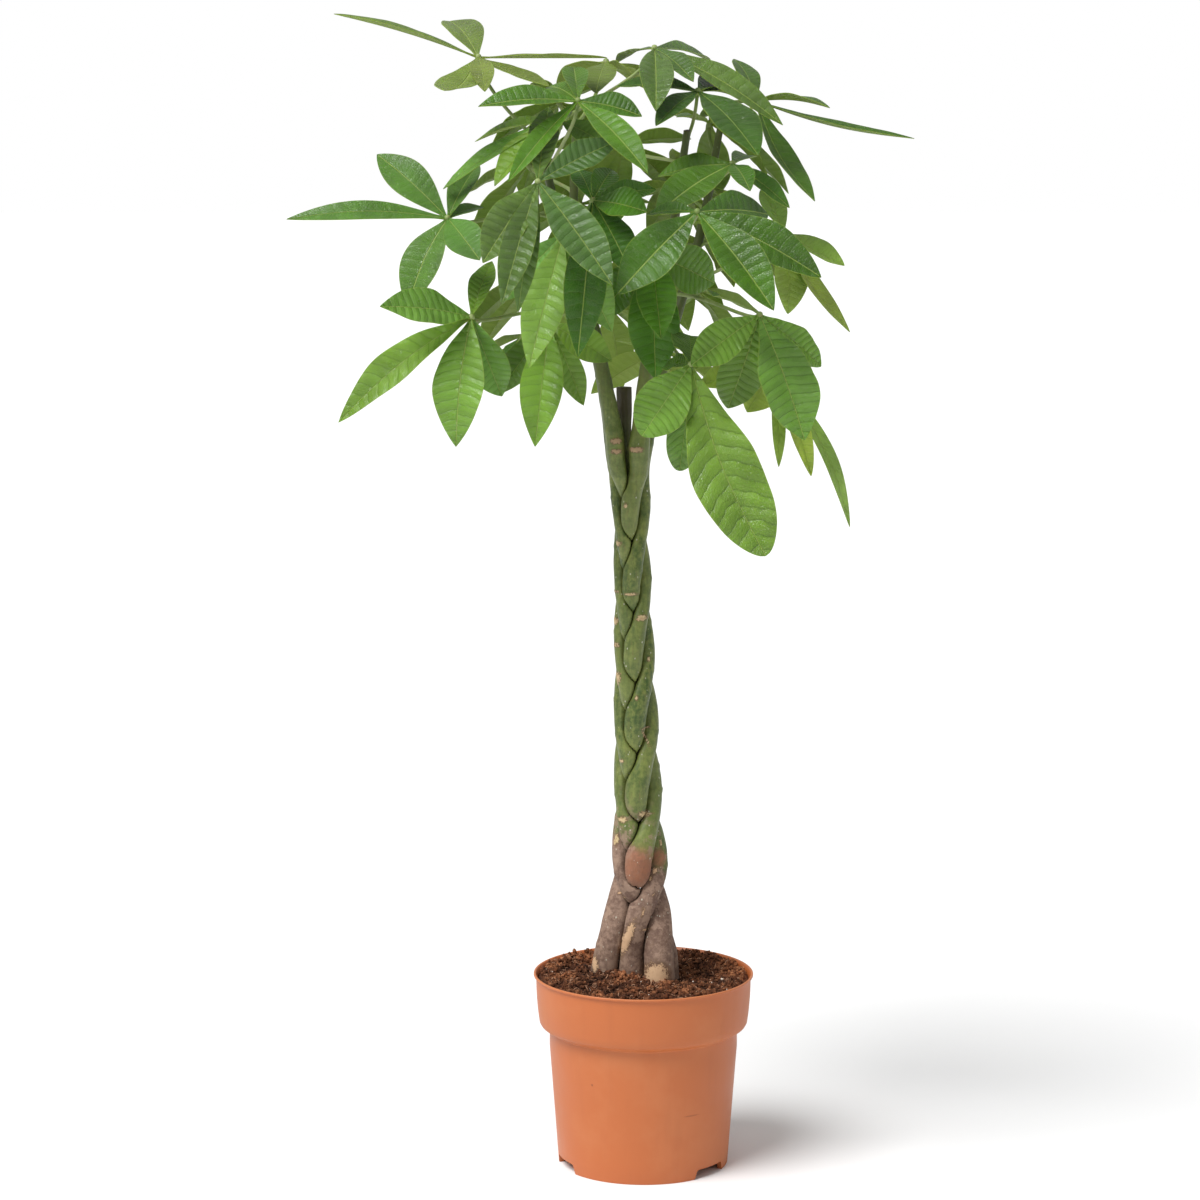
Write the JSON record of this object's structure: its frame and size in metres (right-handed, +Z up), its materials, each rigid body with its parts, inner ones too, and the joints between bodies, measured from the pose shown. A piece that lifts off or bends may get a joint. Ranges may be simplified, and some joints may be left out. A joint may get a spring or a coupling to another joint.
{
  "type": "potted money tree",
  "caption": "Indoor tree with a trunk of braided green stems and a crown of hand-shaped leaves, in a round orange plastic nursery pot filled with soil.",
  "frame": {"origin": "middle of the pot's underside, on the surface that the pot stands on", "axes": "+Z up along the pot's axis and the trunk, -Y towards the viewer, +X to the viewer's right"},
  "size_m": [0.66, 0.522, 1.245],
  "materials": {
    "pot": "satin terracotta orange",
    "soil": "loose dark brown peat",
    "bark": "smooth green bark, brown and rough towards the soil",
    "leaf": "satin deep green",
    "young_leaf": "satin light green"
  },
  "bodies": {
    "root": {"leaf_01": "leaf", "leaf_02": "leaf", "leaf_03": "leaf", "leaf_04": "leaf", "leaf_05": "leaf", "leaf_06": "young_leaf", "leaf_07": "leaf", "leaf_08": "leaf", "leaf_09": "leaf", "leaf_10": "leaf", "leaf_11": "leaf", "leaf_12": "young_leaf", "leaf_13": "leaf", "leaf_14": "leaf", "leaf_15": "leaf", "leaf_16": "leaf", "leaf_17": "leaf", "leaf_18": "leaf", "leaf_19": "leaf", "leaf_20": "leaf", "leaf_21": "leaf", "leaf_22": "leaf", "leaf_23": "leaf", "leaf_24": "leaf", "leaf_25": "leaf", "leaf_26": "leaf", "leaf_27": "leaf", "leaf_28": "leaf", "leaf_29": "leaf", "leaf_30": "leaf", "leaf_31": "leaf", "leaf_32": "leaf", "leaf_33": "leaf", "pot": "pot", "soil": "soil", "stem_1": "bark", "stem_2": "bark", "stem_3": "bark", "stem_4": "bark", "stem_5": "bark"}
  },
  "joints": []
}
